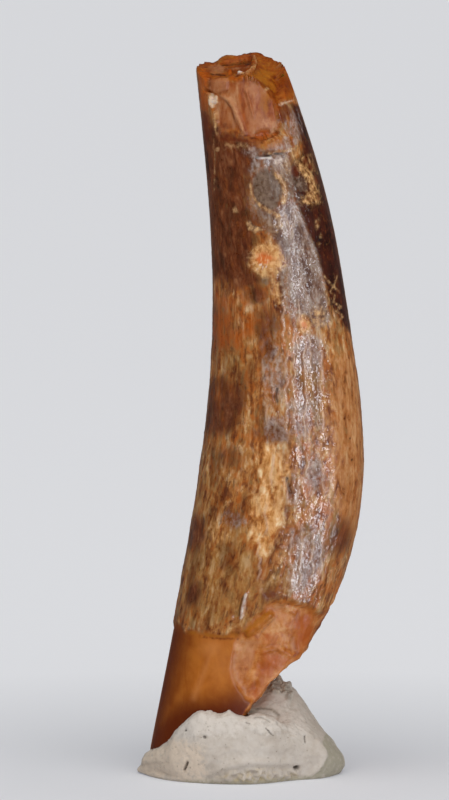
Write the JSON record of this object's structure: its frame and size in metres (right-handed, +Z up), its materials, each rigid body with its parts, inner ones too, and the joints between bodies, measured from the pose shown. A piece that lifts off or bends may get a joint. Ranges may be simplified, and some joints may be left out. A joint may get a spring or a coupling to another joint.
{
  "type": "fossil pterosaur tooth",
  "caption": "Curved fossil pterosaur tooth with a snapped tip and flaked foot, standing upright in a pinched lump of pale mounting putty.",
  "frame": {"origin": "middle of the putty's flat underside, on the surface that it stands on", "axes": "+Z up along the tooth, towards its snapped tip; +X towards the bulging side of its curve; -Y is the front, where the layer scars and the putty's lip are"},
  "size_m": [0.0131, 0.0099, 0.0415],
  "materials": {
    "tooth": "glossy brown enamel, waxy orange where it is broken",
    "putty": "matte, pinched by hand"
  },
  "bodies": {
    "root": {"tooth": "tooth", "putty": "putty"}
  },
  "joints": []
}
